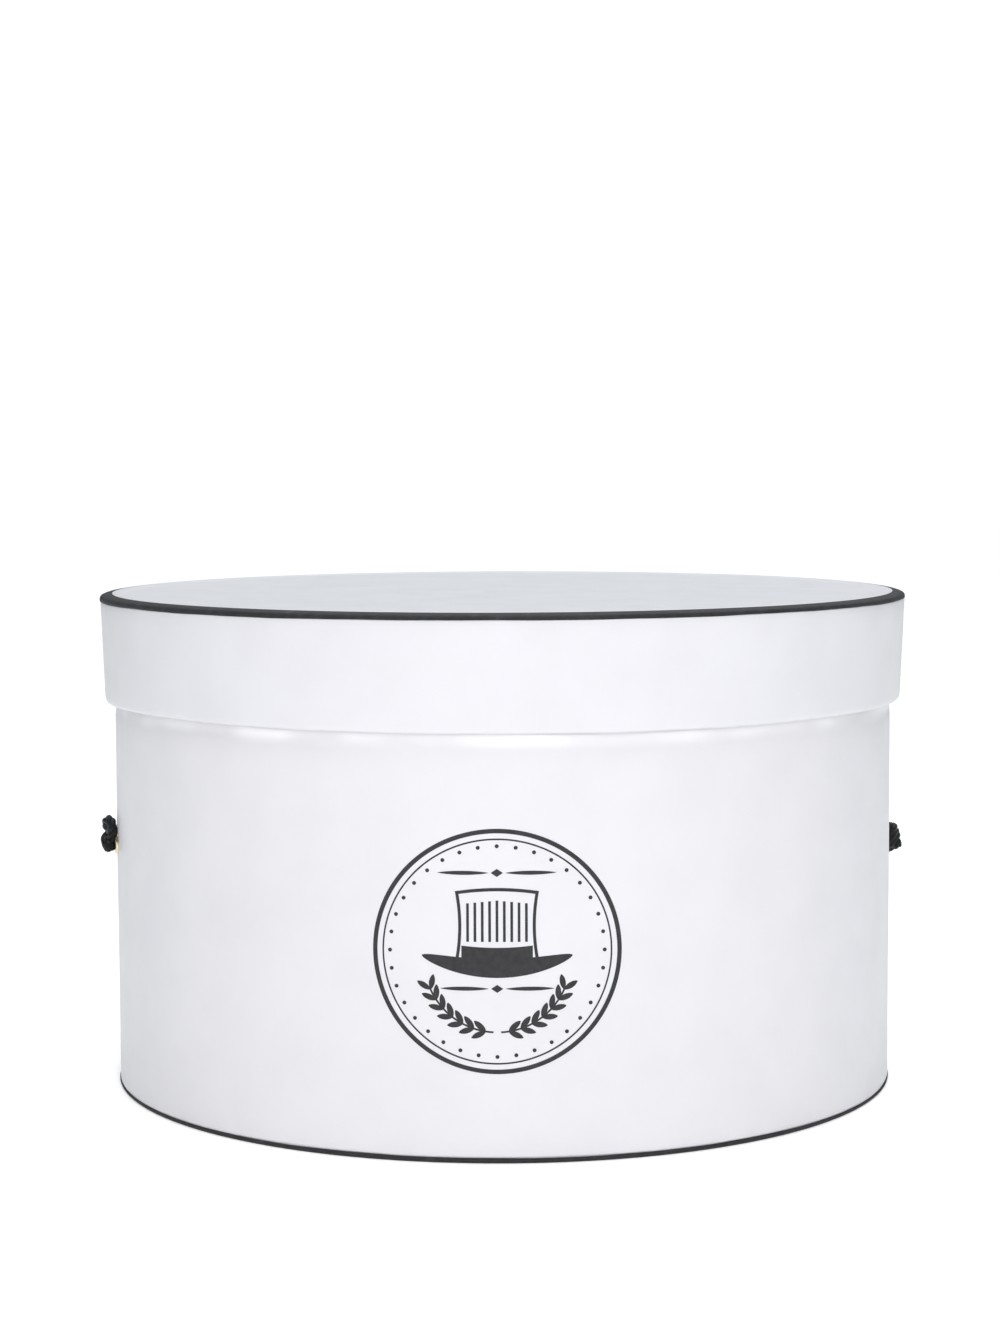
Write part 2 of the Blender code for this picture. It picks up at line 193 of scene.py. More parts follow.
def lay_lap(bm, turn, rise, fade=5.0, lift=(1.0, 0.0)):
    """Lifts a strip's end where it laps over its start. Turn and fade are in degrees, rise in
    metres, and lift says how much of the rise goes outwards and upwards."""
    step = 360.0 / FINE_TURNS
    slack = 1e-4
    cut_width = 0.035
    for vert in bm.verts:
        radius = radius_of(vert.co)
        past = (math.degrees(turn_of(vert.co)) - turn + 180.0) % 360.0 - 180.0
        if -step < past <= slack:
            past = 0.0
            share = 1.0
        elif slack < past <= step + slack:
            past = cut_width
            share = 0.0
        else:
            share = max(0.0, 1.0 + past / fade) if past < 0 else 0.0
        share = share * share * (3 - 2 * share)
        angle = math.radians(turn + past)
        radius += rise * share * lift[0]
        vert.co = (radius * math.cos(angle), radius * math.sin(angle),
                   vert.co.z + rise * share * lift[1])


def hand_laid(turn, height):
    """How far glued paper stands off a true cylinder, in metres, turn in radians."""
    return (0.00007 * math.sin(5 * turn + 31 * height + 0.4)
            + 0.00005 * math.sin(11 * turn - 47 * height + 1.9)
            + 0.00003 * math.sin(23 * turn + 83 * height + 4.1))


def lay_by_hand(bm):
    """Lets a spun sheet stand off its true cylinder as glued paper does."""
    for vert in bm.verts:
        share = 1 + hand_laid(turn_of(vert.co), vert.co.z) / radius_of(vert.co)
        vert.co.x *= share
        vert.co.y *= share


def lay_uv(bm):
    """Lays the piece's own pattern along its run: metres round, by metres across."""
    across = bm.verts.layers.float["across"]
    flat = bm.loops.layers.uv.new("run")
    for face in bm.faces:
        middle = face.calc_center_median()
        base = turn_of(middle)
        for loop in face.loops:
            turn = base + (turn_of(loop.vert.co) - base + math.pi) % math.tau - math.pi
            loop[flat].uv = (turn * radius_of(middle), loop.vert[across])


def at_wall(turn, height, radius):
    """Puts a thing built on the origin, facing up, on the wall, facing out."""
    return (Matrix.Rotation(math.radians(turn), 4, "Z")
            @ Matrix.Translation((radius, 0.0, height))
            @ Matrix.Rotation(math.radians(90), 4, "Y"))


def punch_eyelet_holes(piece):
    """Punches both eyelets' holes through a finished sheet."""
    punch_depth = 0.012
    behind_wall = 0.001
    bm = bmesh.new()
    for turn in EYELET_TURNS.values():
        bmesh.ops.create_cone(
            bm, cap_ends=True, segments=32, radius1=EYELET_BORE, radius2=EYELET_BORE,
            depth=punch_depth, matrix=at_wall(turn, EYELET_HEIGHT, WALL_RADIUS - behind_wall))
    mesh = bpy.data.meshes.new("punch")
    bm.to_mesh(mesh)
    bm.free()
    tool = bpy.data.objects.new("punch", mesh)
    bpy.context.scene.collection.objects.link(tool)
    cut = piece.modifiers.new("punch", "BOOLEAN")
    cut.operation = "DIFFERENCE"
    cut.solver = "EXACT"
    cut.object = tool
    punched = bpy.data.meshes.new_from_object(
        piece.evaluated_get(bpy.context.evaluated_depsgraph_get()))
    piece.modifiers.clear()
    piece.data = punched
    bpy.data.objects.remove(tool)


def put_on(bm, name, body, finish, replaced=(), punched=False, crease=34.0):
    """Makes the finished piece, and says what it moves with and what it stands for."""
    mesh = bpy.data.meshes.new(name)
    bm.to_mesh(mesh)
    bm.free()
    mesh.materials.append(finish)
    piece = bpy.data.objects.new(name, mesh)
    bpy.context.scene.collection.objects.link(piece)
    if punched:
        punch_eyelet_holes(piece)
    piece.data.polygons.foreach_set("use_smooth", [True] * len(piece.data.polygons))
    piece.data.set_sharp_from_angle(angle=math.radians(crease))
    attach(piece, body)
    if replaced:
        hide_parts(*replaced)
    return piece


def paper_finish(name, low, high, roughness, grain_depth, specular):
    """A paper's finish: clouded from low to high, a little wavy, and finely grained."""
    finish, tree, shader = new_finish(name, roughness)
    shader.inputs["Specular IOR Level"].default_value = specular
    ramp(tree, mottle(tree, 0.028, 4.0), [(0.35, low), (0.65, high)], shader.inputs["Base Color"])
    ramp(tree, mottle(tree, 0.011, 5.0), [(0.3, grey(roughness - 0.04)), (0.7, grey(roughness + 0.05))],
         shader.inputs["Roughness"])
    relief(tree, shader, mottle(tree, 0.030, 2.0), 0.00035)
    relief(tree, shader, mottle(tree, 0.0006, 4.0), grain_depth)
    return finish, tree, shader


satin_paper, tree, shader = paper_finish(
    "satin cover paper", (0.667, 0.665, 0.692), (0.688, 0.686, 0.712), roughness=0.44,
    grain_depth=0.000012, specular=0.36)


def reckon(tree, operation, *amounts):
    """Works out one amount from one or two others, each a socket or a plain number."""
    node = tree.nodes.new("ShaderNodeMath")
    node.operation = operation
    for amount, socket in zip(amounts, node.inputs):
        if isinstance(amount, bpy.types.NodeSocket):
            tree.links.new(amount, socket)
        else:
            socket.default_value = amount
    return node.outputs["Value"]


def ease(tree, amount, start, end, least=0.0):
    """Rises smoothly from least to 1 as the amount goes from start to end."""
    node = tree.nodes.new("ShaderNodeMapRange")
    node.interpolation_type = "SMOOTHSTEP"
    node.inputs["From Min"].default_value = start
    node.inputs["From Max"].default_value = end
    node.inputs["To Min"].default_value = least
    tree.links.new(amount, node.inputs["Value"])
    return node.outputs["Result"]


def paint_light_band(tree, shader, height, reach, shade, roughness):
    """Paints a soft, patchy band of colour and roughness round the box at a height: painted highlight
    where the colour is pale, painted shade where it is dark.
    """
    coordinates = tree.nodes.new("ShaderNodeTexCoord")
    axes = tree.nodes.new("ShaderNodeSeparateXYZ")
    tree.links.new(coordinates.outputs["Object"], axes.inputs["Vector"])
    away = reckon(tree, "ABSOLUTE", reckon(tree, "SUBTRACT", axes.outputs["Z"], height))
    patches = ease(tree, mottle(tree, 0.034, 1.0, pull=(1.0, 1.0, 0.6)), 0.32, 0.70, least=0.42)
    painted_light = reckon(tree, "MULTIPLY", ease(tree, away, reach, 0.0), patches)
    for socket, value, kind, plain, banded, mixed in (
            ("Base Color", (*shade, 1.0), "RGBA", 6, 7, 2), ("Roughness", roughness, "FLOAT", 2, 3, 0)):
        mix = tree.nodes.new("ShaderNodeMix")
        mix.data_type = kind
        mix.inputs[banded].default_value = value
        tree.links.new(painted_light, mix.inputs[0])
        tree.links.new(shader.inputs[socket].links[0].from_socket, mix.inputs[plain])
        tree.links.new(mix.outputs[mixed], shader.inputs[socket])


# Painted highlight: a pale, patchy band on the wall's shoulder just under the lid, painted over where
# the lid's shade falls, with a smoother finish there.
paint_light_band(tree, shader, height=0.1774, reach=0.0050, shade=(0.93, 0.928, 0.945), roughness=0.34)

cover = spin_round([
    (183.0, 0.9), (183.0, 2.2), (183.3, 2.5), (183.5, 3.1), (183.5, 166.0), (183.5, 173.0),
    (183.44, 174.2), (183.31, 175.4), (183.12, 176.6), (182.91, 177.8), (182.76, 179.2),
    (182.7, 180.6), (182.7, 224.6), (182.55, 225.3), (182.15, 225.75), (181.1, 225.9), (180.05, 225.75),
    (179.65, 225.3), (179.5, 224.6), (179.5, 210.9), (180.0, 210.9), (180.0, 224.5),
    (180.35, 225.15), (181.1, 225.4), (181.85, 225.15), (182.2, 224.5), (182.2, 178.0),
    (182.3, 176.7), (182.55, 175.9), (182.8, 175.0), (182.95, 174.2), (183.0, 173.4),
    (183.0, 3.3), (182.78, 2.6), (182.78, 0.9)])
for vert in cover.verts:
    turn = turn_of(vert.co)
    if SHOULDER_FOOT < vert.co.z < SHOULDER_TOP:
        share = 1 - abs(vert.co.z - SHOULDER_MIDDLE) / SHOULDER_REACH
        sway = wander(turn, (1.0, 9, 0.5), (0.8, 17, 2.2), (0.5, 31, 0.0))
        vert.co.z += SHOULDER_SWAY * max(0.0, share) * sway
    if HEM_FOOT < vert.co.z < HEM_TOP and radius_of(vert.co) > HEM_RADIUS:
        vert.co.z -= HEM_DROP * math.cos(turn) ** 4
lay_by_hand(cover)
lay_lap(cover, turn=90.0, rise=LAP_RISE)
put_on(cover, "body_cover_paper", "box_body", satin_paper, ["body_cover"],
       punched=True)


# ---- Lining paper of the wall ----
# Plain uncoated white paper, pasted inside the hoop after the cover is turned in. Its top
# edge laps a few millimetres over the turned-in cover and hides the raw edge.
LINING_RISE = -0.00025
lining_paper, tree, shader = paper_finish(
    "lining paper", (0.74, 0.73, 0.715), (0.79, 0.78, 0.765), roughness=0.78,
    grain_depth=0.00003, specular=0.25)

lining = spin_round([
    (180.3, 3.2), (180.3, 174.4), (179.9, 175.8), (179.5, 177.2), (179.5, 209.8), (179.2, 210.8),
    (179.2, 213.8), (179.46, 213.8), (179.46, 211.2), (180.0, 210.5), (180.0, 177.0),
    (180.4, 175.6), (180.8, 174.2), (180.8, 3.2)])
lay_by_hand(lining)
lay_lap(lining, turn=250.0, rise=LINING_RISE)
put_on(lining, "body_lining_paper", "box_body", lining_paper, ["body_lining"],
       punched=True)


# ---- Floor lining ----
# A disc of the lining paper, pasted over the base board inside. It is cut a hair small, so that
# its edge clears the wall's lining.
def paper_disc(outline):
    """A disc of paper, from half of its section in millimetres, worked from its middle."""
    return spin_round(outline, closed=False, longest=0.012)


floor_paper = paper_disc([
    (0.0, 3.0), (180.1, 3.0), (180.22, 3.1), (180.22, 3.4), (180.1, 3.5), (0.0, 3.5)])
put_on(floor_paper, "base_lining_paper", "box_body", lining_paper, ["base_lining"])


# ---- Paper under the base ----
# The outside of the bottom is faced with the cover paper. Standing on shelves and hall floors
# has greyed it a little.
foot_paper, tree, shader = paper_finish(
    "scuffed cover paper", (0.70, 0.69, 0.70), (0.80, 0.795, 0.81), roughness=0.55,
    grain_depth=0.00002, specular=0.5)
foot = paper_disc([(0.0, 0.02), (174.35, 0.02), (174.4, 0.1), (174.4, 0.4), (0.0, 0.4)])
put_on(foot, "base_cover_paper", "box_body", foot_paper, ["base_cover"])


# ---- Binding round the base ----
# Matt black paper-cloth tape folded over the bottom edge: a narrow leg up the wall, and a
# wider leg glued underneath. Its upper edge is cut by hand, and its end laps at the back.
THREAD_COUNT = 620.0
EDGE_SWAY = ((1.0, 7, 1.0), (0.7, 19, 0.3), (0.4, 43, 0.0))
FOOT_TAPE_EDGE, FOOT_TAPE_TOP, FOOT_TAPE_LEG = 0.0018, 0.0022, 0.0005
FOOT_TAPE_SWAY = 0.00007
binding_cloth, tree, shader = new_finish("binding tape", 0.68)
ramp(tree, mottle(tree, 0.004, 5.0),
     [(0.3, (0.014, 0.014, 0.016)), (0.68, (0.026, 0.026, 0.029)), (0.76, (0.075, 0.075, 0.08))],
     shader.inputs["Base Color"])
shader.inputs["Specular IOR Level"].default_value = 0.40
coordinates = tree.nodes.new("ShaderNodeTexCoord")
threads = []
for direction in ("X", "Y"):
    weave = tree.nodes.new("ShaderNodeTexWave")
    weave.wave_type = "BANDS"
    weave.bands_direction = direction
    weave.inputs["Scale"].default_value = THREAD_COUNT
    weave.inputs["Distortion"].default_value = 0.6
    weave.inputs["Detail"].default_value = 1.0
    tree.links.new(coordinates.outputs["UV"], weave.inputs["Vector"])
    threads.append(weave.outputs["Fac"])
relief(tree, shader, reckon(tree, "MAXIMUM", *threads), 0.00004)
relief(tree, shader, mottle(tree, 0.006, 3.0), 0.00012)

foot_tape = spin_round([
    (174.5, 0.0), (182.7, 0.0), (183.3, 0.1), (183.65, 0.4), (183.8, 0.85), (183.8, 1.9),
    (183.7, 2.15), (183.5, 2.2), (183.12, 2.15), (183.05, 1.9), (183.05, 0.8), (182.8, 0.45),
    (174.5, 0.4)], longest=0.003)
for vert in foot_tape.verts:
    turn = turn_of(vert.co)
    if vert.co.z > FOOT_TAPE_EDGE:
        vert.co.z += FOOT_TAPE_SWAY * wander(turn, *EDGE_SWAY)
    if vert.co.z > FOOT_TAPE_LEG:
        vert.co.z -= HEM_DROP * min(1.0, vert.co.z / FOOT_TAPE_TOP) * math.cos(turn) ** 4
lay_lap(foot_tape, turn=118.0, rise=0.0002, fade=4.0)
lay_uv(foot_tape)
put_on(foot_tape, "base_binding_tape", "box_body", binding_cloth, ["base_binding"])


# ---- Eyelets ----
# Two spun brass eyelets. Each has a domed flange outside, and a barrel that goes through the
# wall and a flat washer, and is rolled over it inside with a clenching tool.
SMALL_TURNS = 48
brass, tree, shader = new_finish("brass", 0.24)
shader.inputs["Metallic"].default_value = 1.0
ramp(tree, mottle(tree, 0.0022, 4.0), [(0.3, (0.56, 0.46, 0.29)), (0.7, (0.76, 0.67, 0.46))],
     shader.inputs["Base Color"])
ramp(tree, mottle(tree, 0.0008, 5.0), [(0.3, grey(0.18)), (0.75, grey(0.40))],
     shader.inputs["Roughness"])
relief(tree, shader, mottle(tree, 0.0012, 3.0), 0.00004)


def spin_small(outline, turn):
    """Spins a small fitting's outline of (radius, way out of the wall) in millimetres."""
    bm = spin_round(outline, longest=0.004, turns=SMALL_TURNS)
    bmesh.ops.transform(bm, verts=bm.verts, matrix=at_wall(turn, EYELET_HEIGHT, WALL_RADIUS))
    bmesh.ops.recalc_face_normals(bm, faces=bm.faces[:])
    return bm


for side, turn in EYELET_TURNS.items():
    eyelet = spin_small([
        (3.10, -5.0), (3.10, 0.6), (3.22, 1.15), (3.55, 1.52), (4.1, 1.68), (4.8, 1.55),
        (5.4, 1.18), (5.85, 0.65), (6.0, 0.12), (5.92, 0.02), (5.6, 0.10), (4.9, 0.70),
        (3.62, 0.80), (3.60, -4.75), (4.0, -4.85), (4.55, -4.95), (4.78, -5.15), (4.72, -5.5),
        (4.35, -5.76), (3.9, -5.8), (3.4, -5.6), (3.15, -5.3)], turn)
    put_on(eyelet, "brass_eyelet_" + side, "box_body", brass, ["eyelet_" + side], crease=50)
    washer = spin_small([
        (3.72, -4.6), (3.72, -4.0), (3.85, -3.9), (6.2, -3.9), (6.4, -4.1), (6.4, -4.45),
        (6.2, -4.68), (5.0, -4.74), (3.9, -4.72)], turn)
    put_on(washer, "brass_washer_" + side, "box_body", brass, ["eyelet_washer_" + side],
           crease=50)


# ---- Carrying cord ----
# A soft black cord of three twisted yarns, threaded through both eyelets and stopped by a knot
# outside each. Its slack is pushed inside the box, where it lies loose on the floor.
CORD = 0.005
CORD_LAY = 0.0115
YARNS = 3
YARN_OFF_MIDDLE = CORD * 0.205
ON_THE_FLOOR = 0.0063
black_yarn, tree, shader = new_finish("black cord yarn", 0.42)
ramp(tree, mottle(tree, 0.0011, 5.0),
     [(0.3, (0.0012, 0.0012, 0.0015)), (0.7, (0.0065, 0.0065, 0.0078))],
     shader.inputs["Base Color"])
shader.inputs["Sheen Weight"].default_value = 0.05
shader.inputs["Sheen Roughness"].default_value = 0.5
shader.inputs["Specular IOR Level"].default_value = 0.32
relief(tree, shader, mottle(tree, 0.0004, 4.0), 0.00012)


def smooth_route(points, spacing):
    """Points at an even spacing on a smooth curve through the route's own."""
    ends = [2 * points[0] - points[1], *points, 2 * points[-1] - points[-2]]
    cuts = 40
    fine = []
    for before, start, end, after in zip(ends, ends[1:], ends[2:], ends[3:]):
        for cut in range(cuts):
            t = cut / cuts
            fine.append(0.5 * (
                2 * start + (end - before) * t
                + (2 * before - 5 * start + 4 * end - after) * t ** 2
                + (3 * start - before - 3 * end + after) * t ** 3))
    fine.append(points[-1])
    length = sum((b - a).length for a, b in zip(fine, fine[1:]))
    count = round(length / spacing)
    even = [fine[0]]
    walked = 0.0
    for a, b in zip(fine, fine[1:]):
        step = (b - a).length
        while len(even) < count and walked + step >= length / count * len(even):
            even.append(a.lerp(b, (length / count * len(even) - walked) / step))
        walked += step
    even.append(fine[-1])
    return even


def side_rays(route):
    """For each point of a route, two rays square to it that never spin about it."""
    rays = []
    side = (route[1] - route[0]).orthogonal().normalized()
    for index, point in enumerate(route):
        ahead = (route[min(index + 1, len(route) - 1)] - route[max(index - 1, 0)]).normalized()
        side = (side - side.dot(ahead) * ahead).normalized()
        rays.append((side.copy(), ahead.cross(side), ahead))
    return rays


def twist_cord(route, lay=CORD_LAY, start=0.0, opened=0.0):
    """Twists the yarns round their route, one turn in each lay. Opened swells them at its end."""
    bm = bmesh.new()
    length = sum((b - a).length for a, b in zip(route, route[1:]))
    opens_over = 1.4 * CORD
    rays = side_rays(route)
    for yarn in range(YARNS):
        curve = bpy.data.curves.new("yarn", "CURVE")
        curve.dimensions = "3D"
        curve.bevel_depth = CORD / 2 - YARN_OFF_MIDDLE
        curve.bevel_resolution = 2
        curve.use_fill_caps = True
        spline = curve.splines.new("POLY")
        spline.points.add(len(route) - 1)
        walked = 0.0
        for index, (point, (side, up, _)) in enumerate(zip(route, rays)):
            if index:
                walked += (point - route[index - 1]).length
            angle = math.tau * (walked / lay + yarn / YARNS) + start
            swell = 1 + opened * max(0.0, 1 - (length - walked) / opens_over) ** 0.5
            out = math.cos(angle) * side + math.sin(angle) * up
            place = point + YARN_OFF_MIDDLE * swell * out
            spline.points[index].co = (*place, 1.0)
            spline.points[index].radius = swell
        holder = bpy.data.objects.new("yarn", curve)
        bpy.context.scene.collection.objects.link(holder)
        bpy.context.view_layer.update()
        mesh = bpy.data.meshes.new_from_object(
            holder.evaluated_get(bpy.context.evaluated_depsgraph_get()))
        bm.from_mesh(mesh)
        bpy.data.objects.remove(holder)
        bpy.data.curves.remove(curve)
        bpy.data.meshes.remove(mesh)
    bmesh.ops.remove_doubles(bm, verts=bm.verts[:], dist=1e-7)
    bmesh.ops.recalc_face_normals(bm, faces=bm.faces[:])
    return bm


def add_fibre(bm, root, lean, length, thick_end, thin_end, sides):
    """One fibre, a slim cone that stands on its root."""
    turn = Vector((0, 0, 1)).rotation_difference(lean).to_matrix().to_4x4()
    bmesh.ops.create_cone(
        bm, cap_ends=True, segments=sides, radius1=thick_end, radius2=thin_end, depth=length,
        matrix=Matrix.Translation(root + lean * length * 0.5) @ turn)


def join_in(bm, extra):
    """Puts a second mesh in with the first."""
    mesh = bpy.data.meshes.new("extra")
    extra.to_mesh(mesh)
    extra.free()
    bm.from_mesh(mesh)
    bpy.data.meshes.remove(mesh)


def add_hairs(bm, route, count, longest, seed):
    """Loose fibre ends that stand out of the cord."""
    draw = random.Random(seed)
    hairs = bmesh.new()
    rays = side_rays(route)
    for _ in range(count):
        index = draw.randrange(1, len(route) - 1)
        side, up, ahead = rays[index]
        angle = draw.uniform(0, math.tau)
        out = (math.cos(angle) * side + math.sin(angle) * up).normalized()
        lean = (out + draw.uniform(-1.6, 1.6) * ahead + draw.uniform(-0.6, 0.6) * side).normalized()
        length = draw.uniform(0.35, 1.0) * longest
        add_fibre(hairs, route[index] + out * CORD * 0.40, lean, length,
                  thick_end=0.00005, thin_end=0.000015, sides=3)
    join_in(bm, hairs)


def fray_end(bm, route, count, longest, seed):
    """A brush of cut fibres at the end of a route."""
    draw = random.Random(seed)
    brush = bmesh.new()
    side, up, ahead = side_rays(route)[-1]
    rooted = 0.0004
    for _ in range(count):
        angle = draw.uniform(0, math.tau)
        away = CORD * 0.46 * math.sqrt(draw.random())
        out = math.cos(angle) * side + math.sin(angle) * up
        lean = (ahead + out * away / CORD * draw.uniform(0.1, 1.0)).normalized()
        length = draw.uniform(0.45, 1.0) * longest
        add_fibre(brush, route[-1] + out * away - ahead * rooted, lean, length,
                  thick_end=0.00016, thin_end=0.00007, sides=5)
    join_in(bm, brush)


def cord_drop(turn):
    """Where the cord runs from an eyelet's mouth down to the floor inside."""
    across = [
        (0.1846, 0.1145), (0.176, 0.1145), (0.168, 0.1142), (0.1595, 0.1105), (0.1545, 0.102),
        (0.1530, 0.090), (0.1530, 0.068), (0.1530, 0.046), (0.1515, 0.030), (0.1455, 0.0165),
        (0.134, 0.0088), (0.120, ON_THE_FLOOR)]
    turn = math.radians(turn)
    return [Vector((math.cos(turn) * r, math.sin(turn) * r, height)) for r, height in across]


across_floor = [
    (-0.098, -0.022), (-0.068, -0.030), (-0.047, -0.056), (-0.038, -0.090), (-0.012, -0.117),
    (0.022, -0.108), (0.037, -0.076), (0.026, -0.040), (0.004, -0.006), (-0.020, 0.028),
    (-0.030, 0.066), (-0.010, 0.098), (0.026, 0.104), (0.050, 0.078), (0.058, 0.044),
    (0.074, 0.015), (0.098, 0.004)]
cord_route = cord_drop(EYELET_TURNS["left"])
cord_route += [Vector((x, y, ON_THE_FLOOR)) for x, y in across_floor]
cord_route += cord_drop(EYELET_TURNS["right"])[::-1]
cord_route = smooth_route(cord_route, spacing=0.0010)
cord_mesh = twist_cord(cord_route)
add_hairs(cord_mesh, cord_route, count=700, longest=0.0014, seed=11)
carrying_cord = put_on(cord_mesh, "carrying_cord", "box_body", black_yarn, ["carry_cord"],
                       crease=60)


# ---- Stopper knots ----
# Each end of the cord is tied in an overhand knot, drawn tight against its eyelet, and cut
# short, so that its yarns open into a ragged brush. A knot's route is in millimetres: out of
# the wall, along it, and up from the eyelet's middle.
KNOT_LAY = 0.010
KNOT_STARTS = {"left": 2.05, "right": 1.6}
KNOT_ROUTES = {
    "left": [
        (0.6, 0.0, 0.0), (2.3, 0.3, 0.2), (3.2, 1.5, 1.6), (2.9, 2.4, 4.4), (2.8, 2.4, 8.2),
        (3.9, 0.2, 10.4), (5.0, -2.2, 8.3), (3.2, -2.4, 4.7), (5.0, -1.9, 2.2), (5.3, 0.6, 0.4),
        (4.5, 2.0, -1.2), (4.0, 2.2, -3.1)],
    "right": [
        (0.6, 0.0, 0.0), (2.4, -0.2, 0.3), (3.9, -1.4, 0.4), (3.6, -2.7, -1.6), (3.4, -2.9, -4.8),
        (3.5, -1.0, -8.2), (2.7, 1.4, -9.7), (3.1, 2.6, -6.4), (4.5, 1.2, -2.7), (5.5, -0.8, -2.7),
        (4.3, -2.0, -5.2), (5.4, -1.8, -7.3), (6.4, -1.6, -8.5)]}
for side, turn in EYELET_TURNS.items():
    outward = Vector((math.cos(math.radians(turn)), math.sin(math.radians(turn)), 0.0))
    along = Vector((-outward.y, outward.x, 0.0))
    route = [
        outward * (WALL_RADIUS + out / 1000) + along * sway / 1000
        + Vector((0, 0, EYELET_HEIGHT + rise / 1000)) for out, sway, rise in KNOT_ROUTES[side]]
    route = smooth_route(route, spacing=0.0007)
    knot = twist_cord(route, lay=KNOT_LAY, start=KNOT_STARTS[side], opened=0.22)
    add_hairs(knot, route, count=150, longest=0.0011, seed=21)
    fray_end(knot, route, count=70, longest=0.0016, seed=31)
    put_on(knot, "cord_stopper_" + side, "box_body", black_yarn,
                        ["cord_knot_" + side], crease=60)


# ---- Printed mark ----
# One printing of soft black ink on the cover paper's front: a ring round a plain hat with
# rules and leaves, of a general kind and belonging to nobody. It is drawn flat in millimetres,
# then laid round the wall as a film of ink.
MARK_HEIGHT = 0.0893
MARK_TURN = 270.0
MARK_SCALE = (0.001016, 0.000994, 0.001)
INK_FILM, DRAWN_FILM = 0.00004, 0.001
CUT_PITCH, FIRST_CUT = 0.003, 0.0001
RING, RING_STROKE = 51.7, 1.9
INNER_RING, INNER_STROKE = 47.3, 0.7
DOT_RING, DOT = 44.4, 0.85
CROWN_BOW, CROWN_BOW_MIDDLE, CROWN_BOW_HALF = 80.0, 95.2, 10.5
STRIPE_HALF = 0.55
BRIM_REACH, BRIM_CURL = 31.0, 5.2
RULES = ((33.2, 21.0), (-15.6, 20.0))
STEM, STEM_DROP = 30.0, 4.0
LEAF = 3.3
printing_ink, tree, shader = new_finish("printing ink", 0.72)
ramp(tree, mottle(tree, 0.0024, 5.0),
     [(0.3, (0.022, 0.022, 0.0235)), (0.75, (0.036, 0.036, 0.038))],
     shader.inputs["Base Color"])
relief(tree, shader, mottle(tree, 0.0006, 3.0), 0.00001)


def ink_ribbon(bm, radius, stroke, first, last, steps, centre=(0.0, 0.0)):
    """A curved stroke of one width round a centre, between two turns in degrees."""
    start = math.radians(first)
    spoke = Vector((math.cos(start), math.sin(start), 0.0))
    ends = [bm.verts.new(spoke * (radius - stroke / 2)), bm.verts.new(spoke * (radius + stroke / 2))]
    bmesh.ops.spin(
        bm, geom=ends + [bm.edges.new(ends)], cent=(0, 0, 0), axis=(0, 0, 1), dvec=(0, 0, 0),
        angle=math.radians(last - first), steps=steps, use_merge=last - first >= 360)
    verts = set(ends)
    edge = set(ends)
    while edge:
        edge = {e.other_vert(v) for v in edge for e in v.link_edges} - verts
        verts |= edge
    for vert in verts:
        vert.co = (vert.co.x + centre[0], vert.co.y + centre[1], 0.0)


def ink_spot(bm, centre, half_long, half_wide, lean=0.0, sides=20, pinch=1.0):
    """A filled spot, leaf or diamond, pointed at both ends where pinch is over 1."""
    spot = bmesh.ops.create_circle(bm, cap_ends=True, segments=sides, radius=1.0)
    turn = Matrix.Rotation(math.radians(lean), 3, "Z")
    for vert in spot["verts"]:
        narrow = abs(vert.co.y) ** pinch
        flat = Vector((vert.co.x * half_long, math.copysign(narrow, vert.co.y) * half_wide, 0.0))
        vert.co = turn @ flat + Vector((*centre, 0.0))
    return spot["verts"]


def ink_bar(bm, left, right, bottom, top, bend=0.0, cuts=12):
    """A filled bar, its middle dropped by bend."""
    bar = bmesh.ops.create_grid(bm, x_segments=cuts, y_segments=1, size=0.5)
    for vert in bar["verts"]:
        x = left + (right - left) * (vert.co.x + 0.5)
        y = bottom + (top - bottom) * (vert.co.y + 0.5)
        vert.co = (x, y - bend * (1 - ((2 * x - left - right) / (right - left)) ** 2), 0.0)


mark = bmesh.new()
ink_ribbon(mark, RING - RING_STROKE / 2, RING_STROKE, 0, 360, steps=180)
ink_ribbon(mark, INNER_RING, INNER_STROKE, 0, 360, steps=180)

for turn in range(0, 360, 10):
    away = Vector((math.cos(math.radians(turn)), math.sin(math.radians(turn))))
    ink_spot(mark, away * DOT_RING, DOT, DOT, sides=12)

# The hat: the crown's top, its two bowed sides and its stripes, then the band and the brim.
ink_bar(mark, -16.2, 16.2, 24.2, 25.6, bend=-1.3)
for side, facing in ((-1, 0), (1, 180)):
    ink_ribbon(mark, CROWN_BOW, 1.3, facing - CROWN_BOW_HALF, facing + CROWN_BOW_HALF,
               centre=(side * CROWN_BOW_MIDDLE, 11.0), steps=16)
for x in range(-12, 13, 3):
    shorter = abs(x) * 0.10
    ink_bar(mark, x - STRIPE_HALF, x + STRIPE_HALF, 4.2, 21.6 - shorter, cuts=2)
ink_bar(mark, -14.6, 14.6, -2.6, 2.6, bend=0.9)
for vert in ink_spot(mark, (0.0, -7.0), BRIM_REACH, 4.0, sides=64, pinch=1.15):
    vert.co.y += BRIM_CURL * (vert.co.x / BRIM_REACH) ** 2

# Two rules, each a pair of tapered strokes with a diamond between them.
for height, reach in RULES:
    for side in (-1, 1):
        ink_spot(mark, (side * (reach / 2 + 3.4), height), reach / 2, 0.85, sides=32, pinch=1.6)
    ink_spot(mark, (0.0, height), 2.5, 1.7, sides=4)

# Two sprigs under the hat, each a bowed stem with seven pairs of leaves.
for side in (-1, 1):
    for step in range(7):
        turn = math.radians(-90 + side * (9 + 9.5 * step))
        stem = Vector((math.cos(turn) * STEM, math.sin(turn) * STEM - STEM_DROP))
        lean = math.degrees(turn) + side * 90
        for leaf in (-1, 1):
            angle = math.radians(lean + leaf * side * 34)
            tip = stem + Vector((math.cos(angle), math.sin(angle))) * LEAF
            ink_spot(mark, tip, LEAF, 1.25, lean=math.degrees(angle), sides=16, pinch=1.5)
    first, last = sorted((-90 + side * 3, -90 + side * 68))
    ink_ribbon(mark, STEM, 0.8, first, last, centre=(0.0, -STEM_DROP), steps=40)

